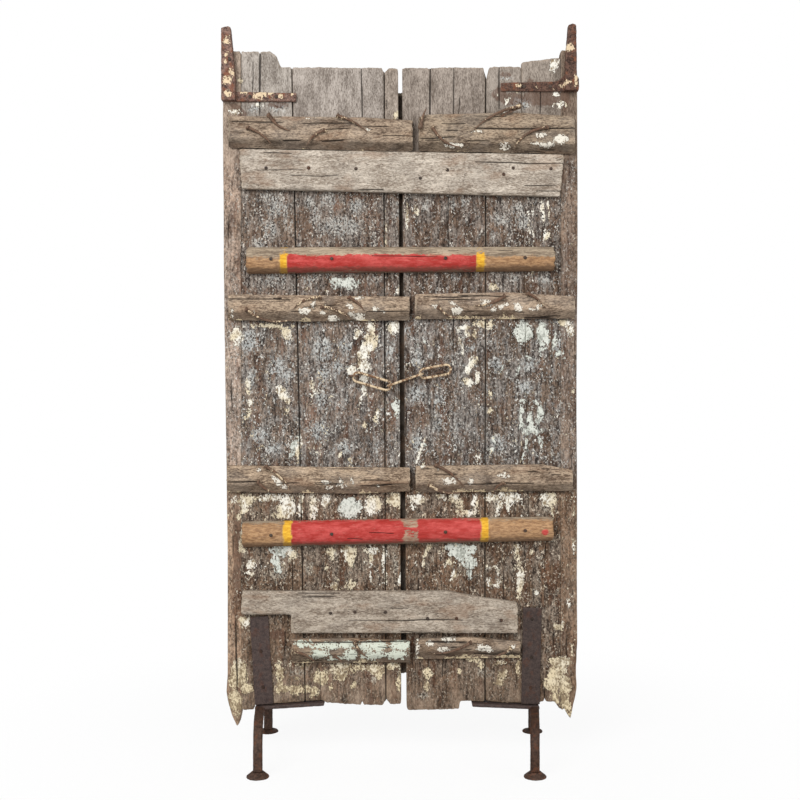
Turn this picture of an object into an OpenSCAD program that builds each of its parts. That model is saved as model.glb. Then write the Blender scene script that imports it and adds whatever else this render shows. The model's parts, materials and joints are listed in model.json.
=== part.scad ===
// A pair of old plank door leaves, battened face forward, held together by two boards and two
// painted poles and standing on two iron stands. A three-link chain hooks over the centre gap.
//
// Frame: the origin is on the floor under the middle of the doors, X to the right, Y away from the
// battened face, Z up. The planks' middle plane is Y = 0. Outlines are lists of [x, z] points.

/* [Leaves] */
// Thickness of the planks
plank_t = 30; // [26:1:34]
// Thickness of the pivot stiles, flush with the planks in front and proud behind
stile_t = 42; // [36:1:48]
// Gap left between two planks
seam_gap = 2; // [1:0.5:3]
// How far the back half of a plank reaches behind its neighbour
lap = 6; // [4:1:6]
// Thickness of the battens
batten_t = 26; // [20:1:28]
// Thickness of the two cross boards
board_t = 22; // [18:1:26]
// Height of the tops of the battened planks
plank_top = 1838; // [1800:1:1860]

/* [Poles] */
// Radius of the upper pole at its left end
upper_pole_r = 35.5; // [32:0.5:38]
// Radius of the lower pole at its left end
lower_pole_r = 35; // [32:0.5:38]
// How much slimmer each pole is at its right end
pole_taper = 2.5; // [0:0.5:4]
// How far a pole's axis stands in front of the planks
pole_stand = 5; // [2:1:8]

/* [Pivot irons] */
// Half the overall width, over the irons
half_w = 475; // [474:1:480]
// Overall height, at the top of the right iron
overall_h = 1946; // [1940:1:1955]
// Thickness of the upright bars
iron_t = 24; // [20:1:28]
// Thickness of the straps
iron_strap_t = 7; // [5:1:9]

/* [Chain] */
// Diameter of the links' wire
link_d = 7; // [6:0.5:7.5]
// Outer width of a link
link_w = 32; // [31:1:34]
// Diameter of the staples' wire
staple_d = 6; // [5:0.5:6]
// Width of a staple between the middles of its prongs
staple_w = 21; // [20:1:24]
// Running gap where two links, or a link and a staple, touch
link_gap = 0.4; // [0.3:0.1:0.5]

/* [Stands] */
// Distance between the front and rear foot centres
foot_spread = 400; // [380:10:420]
// Radius of a foot pad
foot_r = 29; // [27:1:32]
// Height of a front foot pad
front_foot_h = 15; // [12:1:20]
// Height of a rear foot pad
rear_foot_h = 8; // [7:1:12]
// Side of the leg bar
leg_s = 24; // [20:1:25]
// Radius of the bend in a leg
leg_bend = 70; // [60:5:80]
// Width of the strap plates
strap_w = 50; // [44:1:54]
// Thickness of the strap plates
strap_t = 5; // [4:0.5:6]
// Thickness of the shelf bars
shelf_t = 10; // [8:1:12]
// How far a shelf bar stands in front of the planks
shelf_proud = 15; // [12:1:20]

/* [Hidden] */
$fn = 48;

face_y = -plank_t / 2;
back_y = plank_t / 2;
batten_y = face_y - batten_t;
board_y = face_y - board_t;
eps = 0.05; // clearance of a nail or a screw in its hole
rest = 0.3; // gap between parts that rest against each other

// Seams between boards, as [x at the head, x at the foot]
seam_top = 1838;
seam_foot = 133;
left_seams = [[-426, -425], [-289, -253], [-43, -38]];
right_seams = [[229, 227], [325, 352], [431, 431]];
centre_left = [-4, 5];
centre_right = [4, 16];
function seam_x(s, z) = s[1] + (s[0] - s[1]) * (z - seam_foot) / (seam_top - seam_foot);

// Upper line of each shelf bar, which the planks stand on: [x, z, slope in degrees]
left_shelf = [-354, 134, 3.6];
right_shelf = [346, 134.5, -2.4];
function shelf_z(s, x) = s[1] + (x - s[0]) * tan(s[2]);
left_shelf_x = [-386, -202];
right_shelf_x = [192, 371];

// Nails through the battens, bent over on the face: [x, z] where each comes out, then its tip
left_nails = [
    [[-331, 1688], [-294, 1661]], [[-399, 1664], [-348, 1628]], [[-202, 1657], [-242, 1625]],
    [[-151, 1690], [-93, 1657]],
    [[-215, 1216], [-276, 1187]], [[-133, 1216], [-100, 1187]], [[-202, 1191], [-140, 1164]],
    [[-399, 1185], [-300, 1162]],
    [[-345, 762], [-298, 716]], [[-372, 729], [-331, 706]],
    [[-117, 304], [-88, 272]], [[-280, 280], [-231, 258]], [[-173, 268], [-156, 255]]
];
right_nails = [
    [[268, 1698], [204, 1664]], [[91, 1664], [152, 1622]], [[384, 1664], [313, 1622]],
    [[60, 1686], [66, 1706]],
    [[271, 1220], [204, 1198]], [[340, 1226], [380, 1194]], [[105, 1191], [153, 1168]],
    [[105, 766], [159, 723]], [[89, 720], [152, 706]], [[273, 726], [251, 708]],
    [[181, 304], [98, 281]], [[290, 290], [258, 272]]
];
nail_r = 2.4;
nail_knee = 3.4; // radius of the knee of a clinched nail

// Plain nails with small heads, [x, z] each
board_nails = [
    [-355, 1562], [-242, 1562], [-117, 1560], [126, 1557], [300, 1562], [400, 1560],
    [54, 1535], [275, 1545],
    [-184, 382], [-120, 385], [-39, 385], [73, 368], [150, 368], [268, 363]
];
pole_nail_x = [-340, -180, 120, 330];
iron_nails = [[-330, 1755], [-400, 1755], [330, 1782], [400, 1782], [-452, 1850], [455, 1850]];
strip_nail_z = [260, 560, 900, 1080, 1460, 1730];
strip_x = 28;
strip_w = 46;
strip_t = 18;

// Poles: [x of the left end, x of the right end, z of the axis at each end]
upper_pole_at = [-409, 412, 1318.5, 1322.5];
lower_pole_at = [-420, 408, 589, 604];

// Chain: the first link hangs on the left staple at chain_start. Each link has its outer length and
// its slope in degrees, up to the right.
chain_start = [-124, 1011];
chain_y = face_y - link_w / 2 - rest;
link_len = [110, 105, 90];
link_slope = [-16.2, 19.2, 10.4];
function along(p, a, d) = [p[0] + d * cos(a), p[1] + d * sin(a)];
link_step = link_d + link_gap; // between the middles of two touching end bars
middle_link_at = along(chain_start, link_slope[0], link_len[0] - link_d - link_step);
middle_link_end = along(middle_link_at, link_slope[1], link_len[1] - link_d);
right_link_at = along(middle_link_end, link_slope[2], -link_step);
crown_y = chain_y - link_d / 2 - staple_d / 2 - 1;
// The right staple stands in the right link's opening, just above the link's lower side
staple_reach = 47;
staple_drop = link_w / 2 - link_d - staple_d / 2 - 1;
staple_depth = 20; // how deep the prongs go into a plank
staple_bend = staple_d / 2 + 1.5;
right_staple_at = along(along(middle_link_end, link_slope[2], staple_reach),
                        link_slope[2] - 90, staple_drop);

// Stands: middle of the strap's foot, middle of the leg bar, the strap's lean and height
left_strap = [-362, -3.4, 236];
right_strap = [348, 1.1, 258];
left_leg_x = -376;
right_leg_x = 361;
left_front_foot_x = -357;
right_front_foot_x = 339;
left_rear_foot_x = -376;
right_rear_foot_x = 378;
leg_top = 133;
foot_y = foot_spread / 2;
left_screw_z = [46, 142];
right_screw_z = [44, 125, 227];
screw_r = 2.5;
screw_head_r = 5;
screw_len = 26;
rear_screw_drop = 26;
strap_gap = 1; // from a strap's foot down to the shelf line
shelf_gap = 0.8; // from the shelf line down to the shelf bar

// ---------------------------------------------------------------- helpers

// A flat board with an [x, z] outline, between two depths
module board(outline, y0, y1) {
    translate([0, y1, 0]) rotate([90, 0, 0]) linear_extrude(y1 - y0) polygon(outline);
}

// The outline between two seams, its sides moved by l and r. foot and head are lists of [x, z],
// left to right, and the x of their first and last points comes from the seams.
function plank_outline(left, right, foot, head, l, r) =
    let (g = seam_gap / 2, f = len(foot) - 1, h = len(head) - 1)
    concat(
        [[seam_x(left, foot[0][1]) + g + l, foot[0][1]]],
        [for (i = [1:1:f - 1]) foot[i]],
        [[seam_x(right, foot[f][1]) - g + r, foot[f][1]],
         [seam_x(right, head[h][1]) - g + r, head[h][1]]],
        [for (i = [1:1:h - 1]) head[h - i]],
        [[seam_x(left, head[0][1]) + g + l, head[0][1]]]);

// A plank, its back half stepped to the right by l and r so that it laps its neighbours
module plank(left, right, foot, head, l, r) {
    board(plank_outline(left, right, foot, head, 0, 0), face_y, -rest);
    board(plank_outline(left, right, foot, head, l, r), rest, back_y);
    board(plank_outline(left, right, foot, head, l, 0), -1, 1);
}

// A split through a board, from a wide end to a point
module split(from, to, w) {
    d = to - from;
    n = [d[1], -d[0]] / norm(d) * w / 2;
    board([from + n, from - n, to], face_y - 1, back_y + 1);
}

module hole(at, r, y0, y1) {
    translate([at[0], y1, at[1]]) rotate([90, 0, 0]) cylinder(h = y1 - y0, r = r, $fn = 24);
}

// The holes that a staple's prongs make in a plank
module prong_holes(p, slope) {
    translate([p[0], 0, p[1]]) rotate([0, -slope, 0]) for (side = [-1, 1])
        hole([side * staple_w / 2, 0], staple_d / 2 + eps, face_y - 1,
             face_y + staple_depth + eps);
}

// Every hole that nails and screws make in the planks, the strip, the battens and the boards
module batten_nail_holes() {
    for (n = concat(left_nails, right_nails)) hole(n[0], nail_r + eps, batten_y - 1, back_y + 1);
}

module face_nail_holes() {
    for (p = board_nails) hole(p, nail_r + eps, board_y - 1, back_y - 4);
    for (x = pole_nail_x) {
        hole([x, pole_z(upper_pole_at, x)], nail_r + eps, face_y - 60, back_y - 4);
        hole([x, pole_z(lower_pole_at, x)], nail_r + eps, face_y - 60, back_y - 4);
    }
    for (p = iron_nails) hole(p, nail_r + eps, face_y - 40, back_y - 4);
    for (z = strip_nail_z) hole([strip_x, z], nail_r + eps, face_y + 8, back_y + 40);
}

module screw_holes() {
    for (s = concat(left_screws(), right_screws())) {
        hole(s, screw_r + eps, face_y - strap_t - 1, face_y - strap_t + screw_len + 1);
        hole(rear(s), screw_r + eps, back_y + strap_t - screw_len - 1, back_y + strap_t + 1);
    }
}

function strap_point(s, shelf, z) = let (foot = shelf_z(shelf, s[0]))
    [s[0] + z * sin(s[1]), foot + strap_gap + z * cos(s[1])];
function left_screws() = [for (z = left_screw_z) strap_point(left_strap, left_shelf, z)];
function right_screws() = [for (z = right_screw_z) strap_point(right_strap, right_shelf, z)];
// The rear screw that goes with a front screw is a little lower
function rear(p) = p - [0, rear_screw_drop];

module drilled() {
    difference() {
        children();
        batten_nail_holes();
        face_nail_holes();
        screw_holes();
        prong_holes(chain_start, 0);
        prong_holes(right_staple_at, link_slope[2]);
    }
}

function pole_z(p, x) = p[2] + (p[3] - p[2]) * (x - p[0]) / (p[1] - p[0]);

// ---------------------------------------------------------------- leaves

module left_stile() {
    color("tan") difference() {
        board([
            [-425 - rest, 118], [-428, 100], [-435, 71], [-449, 104], [-459, 138], [-464, 168],
            [-461, 215], [-461, 546], [-466, 947], [-471, 1347], [-473.5, 1740], [-470, 1875],
            [-464, 1882], [-427 - rest, 1882]
        ], face_y, face_y + stile_t);
        batten_nail_holes();
        face_nail_holes();
    }
}

module left_outer_plank() {
    color("gray") drilled() difference() {
        s = left_seams;
        plank(s[0], s[1],
            [[0, 118], [-390, 118], [-390, shelf_z(left_shelf, -390)],
             [0, shelf_z(left_shelf, -254)]],
            [[0, 1880], [-345, 1880], [-330, 1866], [-318, plank_top - 2], [0, plank_top]], 0, lap);
        split([-376, 1881], [-376, 1775], 3);
        split([-402, 345], [-392, 225], 4);
    }
}

module left_middle_plank() {
    color("gray") drilled() difference() {
        s = left_seams;
        x = left_shelf_x[1];
        plank(s[1], s[2],
            [[0, shelf_z(left_shelf, -253)], [x + 1, shelf_z(left_shelf, x + 1)], [x + 1, 137],
             [-104, 131], [-46, 130], [0, 146]],
            [[0, plank_top], [-49, plank_top - 2], [0, plank_top - 14]], lap, lap);
        split([-101, 1840], [-101, 1700], 2);
        split([-101, 129], [-101, 225], 6);
    }
}

module left_inner_plank() {
    color("dimgray") drilled()
        plank(left_seams[2], centre_left,
            [[0, 146], [-26, 131], [0, 133]],
            [[0, plank_top - 14], [-30, plank_top - 2], [0, plank_top - 4]], lap, 0);
}

module right_inner_plank() {
    color("gray") drilled() difference() {
        x = right_shelf_x[0];
        plank(centre_right, right_seams[0],
            [[0, 126], [21, 116], [159, 120], [159, 142], [x, 143],
             [x, shelf_z(right_shelf, x)], [0, shelf_z(right_shelf, 226)]],
            [[0, plank_top - 2], [224, plank_top], [0, plank_top - 32]], 0, lap);
        split([76, 1840], [84, 1702], 3);
    }
}

module right_middle_plank() {
    color("gray") drilled() difference() {
        plank(right_seams[0], right_seams[1],
            [[0, shelf_z(right_shelf, 228)], [0, shelf_z(right_shelf, 351)]],
            [[0, plank_top - 32], [238, plank_top + 1], [0, plank_top + 1]], lap, lap);
        split([264, 1840], [264, 1788], 2);
    }
}

module right_outer_plank() {
    color("dimgray") drilled() difference() {
        x = right_shelf_x[1] + 1;
        plank(right_seams[1], right_seams[2],
            [[0, shelf_z(right_shelf, 353)], [x, shelf_z(right_shelf, x)], [x, 140], [415, 140],
             [0, 119]],
            [[0, 1851], [0, 1864]], lap, 0);
        split([388, 139], [388, 390], 4);
    }
}

module right_stile() {
    color("tan") difference() {
        board([
            [431 + rest, 119], [434, 115], [439, 124], [457, 91], [463, 130], [469, 152],
            [473.5, 180], [471, 215], [474, 300], [472, 900], [474.5, 1300], [474.5, 1760],
            [471, 1875], [464, 1884], [431 + rest, 1884]
        ], face_y, face_y + stile_t);
        batten_nail_holes();
        face_nail_holes();
    }
}

// ---------------------------------------------------------------- battens, boards and poles

module batten(outline) {
    difference() {
        board(outline, batten_y, face_y);
        batten_nail_holes();
    }
}

module left_batten_1() {
    color("saddlebrown") batten([[-458, 1619], [20, 1609], [36, 1612], [36, 1690], [-90, 1698],
                                 [-458, 1701]]);
}
module left_batten_2() {
    color("saddlebrown") batten([[-458, 1160], [-250, 1156], [28, 1160], [28, 1222],
                                 [-458, 1228]]);
}
module left_batten_3() {
    color("saddlebrown") batten([[-461, 702], [-120, 698], [28, 704], [28, 768], [-250, 770],
                                 [-461, 774]]);
}
module left_batten_4() {
    color("saddlebrown") batten([[-290, 248], [28, 250], [28, 307], [-120, 314], [-290, 312]]);
}
module right_batten_1() {
    color("saddlebrown") batten([[48, 1609], [466, 1604], [466, 1700], [300, 1711], [60, 1704],
                                 [48, 1696]]);
}
module right_batten_2() {
    color("saddlebrown") batten([[38, 1162], [466, 1164], [466, 1222], [280, 1233], [38, 1228]]);
}
module right_batten_3() {
    color("saddlebrown") batten([[40, 701], [461, 705], [461, 760], [380, 776], [40, 772]]);
}
module right_batten_4() {
    color("saddlebrown") batten([[40, 259], [322, 262], [322, 306], [180, 318], [40, 312]]);
}

// Strip behind the centre gap that the leaves close against
module meeting_strip() {
    color("saddlebrown") difference() {
        board([[strip_x - strip_w, 206], [strip_x + strip_w / 2, 206],
               [strip_x + strip_w / 2, 1780], [strip_x - strip_w, 1780]],
              back_y, back_y + strip_t);
        face_nail_holes();
        batten_nail_holes();
    }
}

module upper_cross_board() {
    color("wheat") difference() {
        board([[-423, 1508], [426, 1487], [439, 1599], [-430, 1614]], board_y, face_y);
        face_nail_holes();
    }
}

module lower_cross_board() {
    color("wheat") difference() {
        board([[-423, 377], [-290, 377], [-290, 328], [315, 328], [314, 409], [255, 418],
               [234, 420], [127, 440], [-423, 440]], board_y, face_y);
        board([[-291, 370], [-289, 370], [-289, 413], [-291, 413]], board_y - 1, face_y + 1);
        face_nail_holes();
    }
}

// Half of a tapering round pole, its flat against the planks
module pole(p, r) {
    run = [p[1] - p[0], p[3] - p[2]];
    pitch = atan2(run[1], run[0]);
    difference() {
        intersection() {
            translate([p[0], face_y - pole_stand, p[2]]) rotate([0, 90 - pitch, 0])
                cylinder(h = norm(run), r1 = r, r2 = r - pole_taper, $fn = 64);
            translate([p[0] - 20, face_y - 80, p[2] - 80])
                cube([norm(run) + 40, 80, 160]);
        }
        face_nail_holes();
    }
}

module upper_pole() { color("firebrick") pole(upper_pole_at, upper_pole_r); }
module lower_pole() { color("firebrick") pole(lower_pole_at, lower_pole_r); }

// ---------------------------------------------------------------- irons and nails

module left_pivot_iron() {
    color("sienna") difference() {
        union() {
            board([[-half_w, 1742], [-437, 1742], [-437, 1800], [-449, 1934], [-456, 1938],
                   [-half_w, 1934]], face_y - iron_t, face_y);
            board([[-half_w, 1742], [-276, 1742], [-276, 1765], [-400, 1769],
                   [-half_w, 1769]], face_y - iron_strap_t, face_y);
        }
        face_nail_holes();
    }
}

module right_pivot_iron() {
    color("sienna") difference() {
        union() {
            board([[438, 1768], [half_w, 1768], [half_w, 1800], [470, 1806], [468, overall_h - 4],
                   [458, overall_h], [446, overall_h - 4], [438, 1835]], face_y - iron_t, face_y);
            board([[268, 1770], [half_w, 1768], [half_w, 1800], [438, 1812], [420, 1797],
                   [268, 1793]], face_y - iron_strap_t, face_y);
        }
        face_nail_holes();
    }
}

// A nail driven from one side: its head stands on y, its shank runs on by len
module nail(at, y, len, dir) {
    translate([at[0], y, at[1]]) rotate([-90 * dir, 0, 0]) {
        cylinder(h = len, r = nail_r, $fn = 24);
        translate([0, 0, -2]) cylinder(h = 2, r = 5, $fn = 24);
    }
}

// A nail driven from behind through plank and batten, then hammered over along the batten's face.
// A swollen knee joins its shank to the tapering run.
module clinched_nail(n) {
    run = n[1] - n[0];
    y = batten_y - nail_knee - rest;
    nail(n[0], back_y + rest, back_y + rest - y, -1);
    translate([n[0][0], y, n[0][1]]) rotate([0, -atan2(run[1], run[0]), 0]) {
        rotate([0, 0, 225]) sphere(r = nail_knee, $fn = 48);
        rotate([0, 90, 0]) cylinder(h = norm(run), r1 = nail_r - 0.2, r2 = 0.8, $fn = 24);
    }
}

module left_batten_nails() {
    color("sienna") for (n = left_nails) clinched_nail(n);
}
module right_batten_nails() {
    color("sienna") for (n = right_nails) clinched_nail(n);
}
module cross_board_nails() {
    color("sienna") for (p = board_nails) nail(p, board_y - rest, board_t + 24, 1);
}
module pole_nails() {
    color("sienna") for (x = pole_nail_x) {
        shrink = (x - upper_pole_at[0]) / (upper_pole_at[1] - upper_pole_at[0]) * pole_taper;
        for (p = [[upper_pole_at, upper_pole_r], [lower_pole_at, lower_pole_r]])
            nail([x, pole_z(p[0], x)], face_y - pole_stand - p[1] + shrink - rest, 60, 1);
    }
}
module pivot_iron_nails() {
    color("sienna") for (p = iron_nails) {
        through = p[1] < 1800 ? iron_strap_t : iron_t;
        nail(p, face_y - through - rest, through + 24, 1);
    }
}
module strip_nails() {
    color("sienna") for (z = strip_nail_z)
        nail([strip_x, z], back_y + strip_t + rest, strip_t + 20, -1);
}

// ---------------------------------------------------------------- chain

// A round-ended link of wire, lying in XZ, its left end bar at the origin, running along +X
module link(length) {
    r = (link_w - link_d) / 2;
    straight = length - link_w;
    for (side = [-1, 1])
        translate([r, 0, side * r]) rotate([0, 90, 0])
            cylinder(h = straight, d = link_d, $fn = 32);
    translate([r, 0, 0]) rotate([90, 90, 0])
        rotate_extrude(angle = -180, $fn = 64) translate([r, 0]) circle(d = link_d, $fn = 32);
    translate([r + straight, 0, 0]) rotate([90, 90, 0])
        rotate_extrude(angle = 180, $fn = 64) translate([r, 0]) circle(d = link_d, $fn = 32);
}

module link_at(p, i, roll) {
    translate([p[0], chain_y, p[1]]) rotate([0, -link_slope[i], 0]) rotate([roll, 0, 0])
        link(link_len[i]);
}
module left_link() { color("goldenrod") link_at(chain_start, 0, 0); }
module middle_link() { color("goldenrod") link_at(middle_link_at, 1, 90); }
module right_link() { color("goldenrod") link_at(right_link_at, 2, 0); }

// A staple driven into the planks, its crown along X before it is turned by slope
module staple(p, slope) {
    r = staple_d / 2;
    bend = staple_bend;
    translate([p[0], 0, p[1]]) rotate([0, -slope, 0]) {
        translate([-staple_w / 2 + bend, crown_y, 0]) rotate([0, 90, 0])
            cylinder(h = staple_w - 2 * bend, r = r, $fn = 32);
        for (side = [-1, 1]) {
            translate([side * (staple_w / 2 - bend), crown_y + bend, 0])
                rotate([0, 0, side > 0 ? -90 : 180]) rotate_extrude(angle = 90, $fn = 48)
                    translate([bend, 0]) circle(r = r, $fn = 32);
            translate([side * staple_w / 2, face_y + staple_depth, 0]) rotate([90, 0, 0])
                cylinder(h = face_y + staple_depth - crown_y - bend, r = r, $fn = 32);
        }
    }
}
module left_staple() { color("sienna") staple(chain_start, 0); }
module right_staple() { color("sienna") staple(right_staple_at, link_slope[2]); }

// ---------------------------------------------------------------- stands

// A strap plate on the planks, leaning with its stand and standing on the shelf bar
module strap(s, shelf, y) {
    foot = strap_point(s, shelf, 0);
    translate([foot[0], y, foot[1]]) rotate([0, s[1], 0])
        translate([-strap_w / 2, 0, 0]) cube([strap_w, strap_t, s[2]]);
}

module shelf_bar(s, x) {
    board([[x[0], shelf_z(s, x[0]) - shelf_t], [x[1], shelf_z(s, x[1]) - shelf_t],
           [x[1], shelf_z(s, x[1]) - shelf_gap], [x[0], shelf_z(s, x[0]) - shelf_gap]],
          face_y - shelf_proud, back_y + shelf_proud);
}

// The leg bar's section: a square with its corners taken off
module leg_section() {
    c = 4;
    h = leg_s / 2;
    polygon([[-h, -h + c], [-h + c, -h], [h - c, -h], [h, -h + c],
             [h, h - c], [h - c, h], [-h + c, h], [-h, h - c]]);
}

// A leg: out along -Y from the shelf bar's front edge, then bent down to its foot pad
module leg(x, foot_x, side, pad_h) {
    yaw = atan2(foot_x - x, foot_y);
    reach = norm([foot_x - x, foot_y]);
    run = reach - leg_bend;
    edge = plank_t / 2 + shelf_proud + rest;
    difference() {
        translate([x, 0, leg_top - leg_s / 2]) rotate([0, 0, side > 0 ? yaw : 180 - yaw]) {
            rotate([90, 0, 0]) linear_extrude(run) leg_section();
            translate([0, -run, -leg_bend]) rotate([180, -90, 0])
                rotate_extrude(angle = 90, $fn = 96) translate([leg_bend, 0]) leg_section();
            translate([0, -reach, pad_h - leg_top + leg_s / 2])
                linear_extrude(leg_top - leg_s / 2 - leg_bend - pad_h) leg_section();
        }
        translate([x - 2 * leg_s, -edge, 0]) cube([4 * leg_s, 2 * edge, 2 * leg_top]);
    }
}

module foot_pad(x, y, h) {
    neck = leg_s * 0.62;
    translate([x, y, 0]) rotate_extrude($fn = 64)
        polygon([[0, 0], [foot_r, 0], [foot_r, 3], [foot_r - 2, 5], [neck, h], [0, h]]);
}

module screw(at, y, dir) {
    translate([at[0], y, at[1]]) rotate([-90 * dir, 0, 0]) {
        cylinder(h = screw_len, r = screw_r, $fn = 24);
        cylinder(h = 2.5, r1 = screw_head_r, r2 = screw_r, $fn = 24);
    }
}

module strap_screws(points) {
    for (p = points) {
        screw(p, face_y - strap_t, 1);
        screw(rear(p), back_y + strap_t, -1);
    }
}

// The screws' holes in a strap, countersunk on its outer side
module sunk_holes(points, y, dir) {
    for (p = points) translate([p[0], y, p[1]]) rotate([-90 * dir, 0, 0]) {
        translate([0, 0, -1]) cylinder(h = 12, r = screw_r + eps, $fn = 24);
        translate([0, 0, -0.1])
            cylinder(h = 2.7, r1 = screw_head_r + 0.2, r2 = screw_r + 0.1, $fn = 24);
    }
}

module left_front_strap() {
    color("dimgray") difference() {
        strap(left_strap, left_shelf, face_y - strap_t);
        sunk_holes(left_screws(), face_y - strap_t, 1);
    }
}
module left_rear_strap() {
    color("dimgray") difference() {
        strap(left_strap, left_shelf, back_y);
        sunk_holes([for (p = left_screws()) rear(p)], back_y + strap_t, -1);
    }
}
module left_shelf_bar() { color("dimgray") shelf_bar(left_shelf, left_shelf_x); }
module left_front_leg() { color("sienna") leg(left_leg_x, left_front_foot_x, 1, front_foot_h); }
module left_rear_leg() { color("sienna") leg(left_leg_x, left_rear_foot_x, -1, rear_foot_h); }
module left_foot_pads() {
    color("dimgray") {
        foot_pad(left_front_foot_x, -foot_y, front_foot_h);
        foot_pad(left_rear_foot_x, foot_y, rear_foot_h);
    }
}
module left_strap_screws() { color("black") strap_screws(left_screws()); }

module right_front_strap() {
    color("dimgray") difference() {
        strap(right_strap, right_shelf, face_y - strap_t);
        sunk_holes(right_screws(), face_y - strap_t, 1);
    }
}
module right_rear_strap() {
    color("dimgray") difference() {
        strap(right_strap, right_shelf, back_y);
        sunk_holes([for (p = right_screws()) rear(p)], back_y + strap_t, -1);
    }
}
module right_shelf_bar() { color("dimgray") shelf_bar(right_shelf, right_shelf_x); }
module right_front_leg() { color("sienna") leg(right_leg_x, right_front_foot_x, 1, front_foot_h); }
module right_rear_leg() { color("sienna") leg(right_leg_x, right_rear_foot_x, -1, rear_foot_h); }
module right_foot_pads() {
    color("dimgray") {
        foot_pad(right_front_foot_x, -foot_y, front_foot_h);
        foot_pad(right_rear_foot_x, foot_y, rear_foot_h);
    }
}
module right_strap_screws() { color("black") strap_screws(right_screws()); }

left_stile();
left_outer_plank();
left_middle_plank();
left_inner_plank();
right_inner_plank();
right_middle_plank();
right_outer_plank();
right_stile();
left_batten_1();
left_batten_2();
left_batten_3();
left_batten_4();
right_batten_1();
right_batten_2();
right_batten_3();
right_batten_4();
meeting_strip();
upper_cross_board();
lower_cross_board();
upper_pole();
lower_pole();
left_pivot_iron();
right_pivot_iron();
pivot_iron_nails();
left_batten_nails();
right_batten_nails();
cross_board_nails();
pole_nails();
strip_nails();
left_staple();
right_staple();
left_link();
middle_link();
right_link();
left_front_strap();
left_rear_strap();
left_shelf_bar();
left_front_leg();
left_rear_leg();
left_foot_pads();
left_strap_screws();
right_front_strap();
right_rear_strap();
right_shelf_bar();
right_front_leg();
right_rear_leg();
right_foot_pads();
right_strap_screws();
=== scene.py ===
"""The looks of an old plank door pair on iron stands: split wood, flaked paint and rusty iron.

Every CAD node is replaced by a worn copy of itself. The copy gets an even grid of small faces, is
rounded, split and dented in place, and carries numbers per point that say where paint, cracks and
worn edges are. The materials turn those numbers into colour, roughness and fine relief.
Lengths are in metres; X runs along the doors, Y away from their battened face, Z up.
"""
import json
import math

import bpy
import numpy as np
from mathutils import Matrix, Vector


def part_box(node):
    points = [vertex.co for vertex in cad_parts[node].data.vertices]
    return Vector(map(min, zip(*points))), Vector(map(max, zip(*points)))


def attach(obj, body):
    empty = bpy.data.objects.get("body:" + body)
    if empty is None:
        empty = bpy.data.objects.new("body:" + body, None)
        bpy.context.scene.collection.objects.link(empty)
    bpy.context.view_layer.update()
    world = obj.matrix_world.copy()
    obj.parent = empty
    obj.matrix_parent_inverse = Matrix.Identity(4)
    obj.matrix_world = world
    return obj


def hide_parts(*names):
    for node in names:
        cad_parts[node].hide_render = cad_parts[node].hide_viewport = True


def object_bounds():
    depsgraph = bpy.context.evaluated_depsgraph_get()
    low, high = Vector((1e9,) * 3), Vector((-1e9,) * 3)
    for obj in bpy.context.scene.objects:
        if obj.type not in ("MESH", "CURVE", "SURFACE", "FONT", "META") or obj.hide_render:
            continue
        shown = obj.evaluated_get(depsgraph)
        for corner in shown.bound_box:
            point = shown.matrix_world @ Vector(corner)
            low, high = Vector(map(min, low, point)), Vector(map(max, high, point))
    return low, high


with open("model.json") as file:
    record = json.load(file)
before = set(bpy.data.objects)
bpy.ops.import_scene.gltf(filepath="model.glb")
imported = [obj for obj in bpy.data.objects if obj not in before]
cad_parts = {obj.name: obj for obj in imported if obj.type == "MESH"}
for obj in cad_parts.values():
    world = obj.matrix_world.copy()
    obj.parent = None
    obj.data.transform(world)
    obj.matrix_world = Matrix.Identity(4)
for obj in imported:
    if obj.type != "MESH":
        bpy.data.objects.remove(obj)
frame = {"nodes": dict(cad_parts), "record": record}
cad_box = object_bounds()

MM = 0.001
X, Y, Z = 0, 1, 2
NODES = sorted(frame["nodes"])
BODY_OF = {n: b for b, ns in frame["record"]["behaviour"]["bodies"].items() for n in ns}


# ---------- noise

def lattice(cell, seed):
    """A repeatable random number from 0 to 1 for each whole-number cell (n, 3)."""
    h = cell[:, 0] * 374761393 + cell[:, 1] * 668265263 + cell[:, 2] * 1103515245 + seed * 974634777
    h = ((h ^ (h >> 13)) * 1274126177) & 0xFFFFFFFF
    h = ((h ^ (h >> 15)) * 2246822519) & 0xFFFFFFFF
    return ((h ^ (h >> 16)) & 0xFFFFFF) / 0xFFFFFF


def lumps(at, size, seed):
    """Smooth noise from -1 to 1 at points (n, 3), with lumps of a size per axis."""
    q = at / np.asarray(size, float)
    cell = np.floor(q).astype(np.int64)
    f = q - cell
    f = f * f * (3 - 2 * f)
    total = np.zeros(len(at))
    for corner in np.ndindex(2, 2, 2):
        weight = np.prod(np.where(corner, f, 1 - f), axis=1)
        total += weight * lattice(cell + np.array(corner), seed)
    return total * 2 - 1


def rough(at, size, seed, octaves=3):
    """Lumps with ever finer lumps on them, about -1 to 1."""
    size = np.broadcast_to(np.asarray(size, float), (3,))
    total = sum(lumps(at, size / 2 ** k, seed + k) / 2 ** k for k in range(octaves))
    return total / (2 - 2 ** (1 - octaves))


def stretched(size, along, axis):
    """A size per axis that is longer along one axis."""
    return [along if i == axis else size for i in range(3)]


def ease(value, low, high):
    """0 up to low and 1 from high, smooth between them; it falls where high is the lower one."""
    t = np.clip((value - low) / (high - low), 0, 1)
    return t * t * (3 - 2 * t)


# ---------- worn copies

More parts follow.
